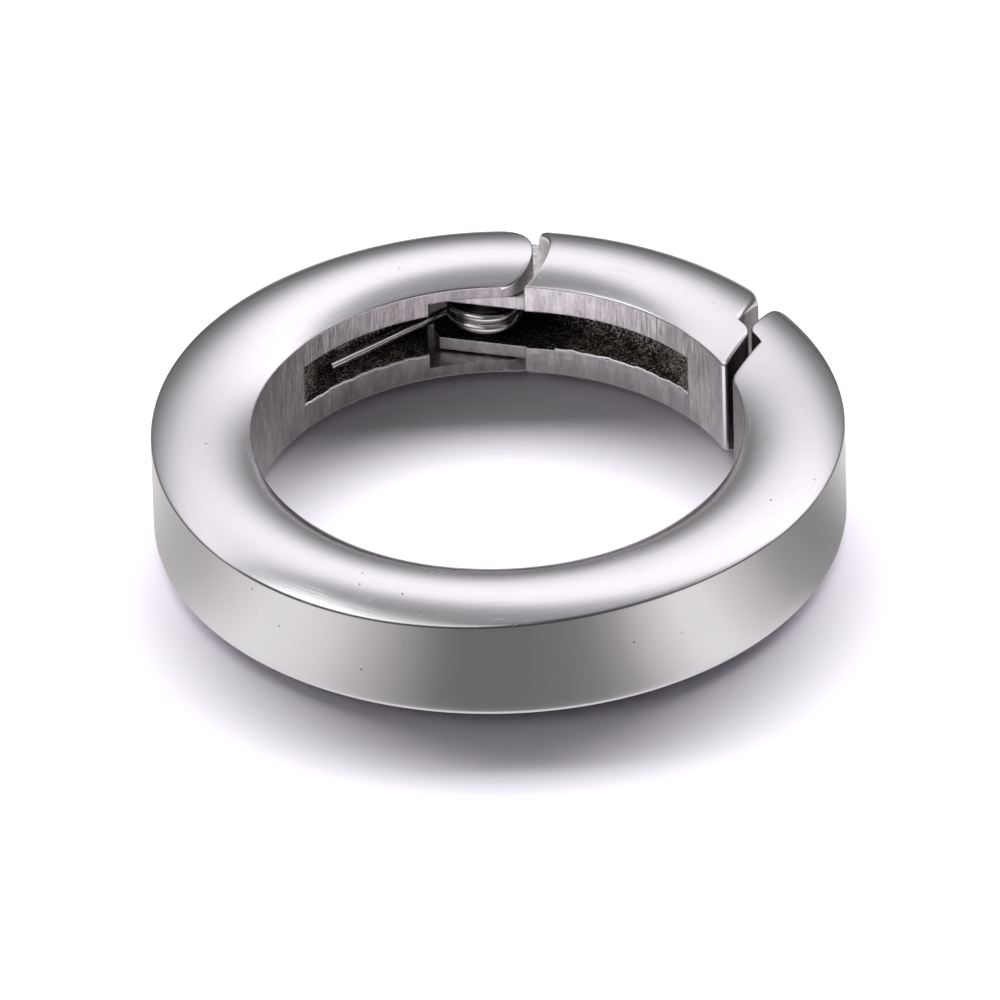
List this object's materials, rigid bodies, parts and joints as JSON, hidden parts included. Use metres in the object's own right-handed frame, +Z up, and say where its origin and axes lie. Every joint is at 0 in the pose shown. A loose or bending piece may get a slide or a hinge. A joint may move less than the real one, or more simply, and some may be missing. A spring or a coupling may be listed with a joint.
{
  "type": "spring gate ring",
  "caption": "Flat polished steel ring with domed faces; one part of the band is a sprung gate that swings inward so that a key, strap or chain can be hooked in.",
  "frame": {"origin": "on the ring's axis, at the surface that the ring lies on", "axes": "+Z up along the ring's axis, +Y from the axis towards the hinge pin, +X towards the gate's side"},
  "size_m": [0.02, 0.02, 0.004],
  "materials": {
    "polished_steel": "cast stainless steel, polished outside, ground inside, pockets as cast",
    "spring_wire": "bright drawn spring wire",
    "pin_steel": "turned stainless pin, end ground flush and polished"
  },
  "bodies": {
    "ring": {"ring_body": "polished_steel", "pivot_pin": "pin_steel", "torsion_spring": "spring_wire"},
    "gate": {"gate": "polished_steel"}
  },
  "joints": [
    {"name": "gate_hinge", "type": "hinge", "parent": "ring", "child": "gate", "pos_m": [0, 0.0084, 0.002], "axis": [0, 0, -1], "range_deg": [0, 60], "stiffness_Nm_per_rad": 0.0072, "springref_deg": -14.32, "deforming": ["torsion_spring"]}
  ]
}
